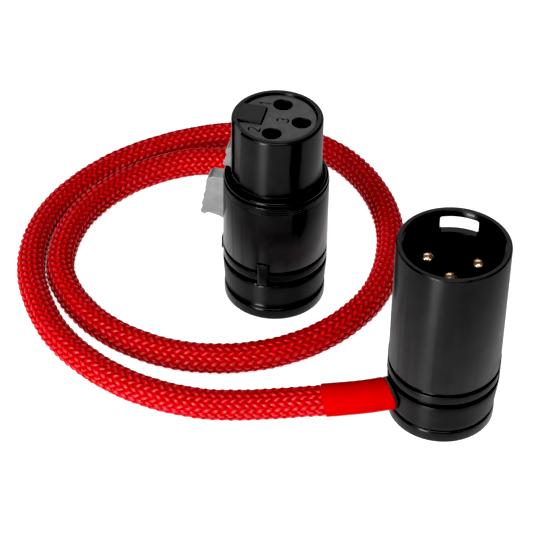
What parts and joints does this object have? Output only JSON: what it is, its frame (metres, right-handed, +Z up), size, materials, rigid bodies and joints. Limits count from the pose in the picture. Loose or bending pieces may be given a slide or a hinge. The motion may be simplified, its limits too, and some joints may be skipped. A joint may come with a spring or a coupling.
{
  "type": "xlr cable",
  "caption": "Short braided audio patch cable, laid in a loose coil between a low-profile socket plug with a push latch and a low-profile pin plug, each standing on its base.",
  "frame": {"origin": "centre of the socket plug's base cap, on the floor", "axes": "+Z up along the socket plug's axis; the pin plug stands towards +X and -Y"},
  "size_m": [0.0856, 0.0845, 0.039],
  "materials": {
    "black_shell": "glossy black lacquer over metal",
    "grey_insert": "matte dark grey moulding",
    "black_insert": "matte black moulding",
    "gold_contact": "polished gold plating",
    "latch_metal": "satin cast metal",
    "steel": "bright steel",
    "black_screw": "blackened steel",
    "black_rubber": "matte rubber",
    "wire_jacket": "soft insulation",
    "red_sleeve": "bright red heat-shrink with a soft sheen",
    "red_braid": "braided yarn with a light sheen"
  },
  "bodies": {
    "root": {"female_barrel": "black_shell", "female_housing": "black_shell", "female_insert": "grey_insert", "female_contact_1": "gold_contact", "female_contact_2": "gold_contact", "female_contact_3": "gold_contact", "latch_pivot_pin": "steel", "latch_spring": "steel", "female_index_ring": "black_shell", "female_base": "black_shell", "female_base_cap": "black_shell", "female_cap_screws": "steel", "female_lock_screw": "black_screw", "female_cable_gland": "black_rubber", "female_cable_core": "black_rubber", "female_cable_clamp": "steel", "female_wires": "wire_jacket", "female_heat_shrink": "red_sleeve", "male_shell": "black_shell", "male_insert": "black_insert", "male_pin_1": "gold_contact", "male_pin_2": "gold_contact", "male_pin_3": "gold_contact", "male_index_ring": "black_shell", "male_base": "black_shell", "male_base_cap": "black_shell", "male_cap_screws": "steel", "male_lock_screw": "black_screw", "male_cable_gland": "black_rubber", "male_cable_core": "black_rubber", "male_cable_clamp": "steel", "male_wires": "wire_jacket", "male_heat_shrink": "red_sleeve", "braided_cable": "red_braid"},
    "latch": {"latch_lever": "latch_metal"}
  },
  "joints": [
    {"name": "latch_press", "type": "hinge", "parent": "root", "child": "latch", "pos_m": [-0.00741, 0.00171, 0.0144], "axis": [0.225, 0.9744, 0], "range_deg": [0, 5.8], "stiffness_Nm_per_rad": 0.05, "springref_deg": -34.38, "deforming": ["latch_spring"]}
  ]
}
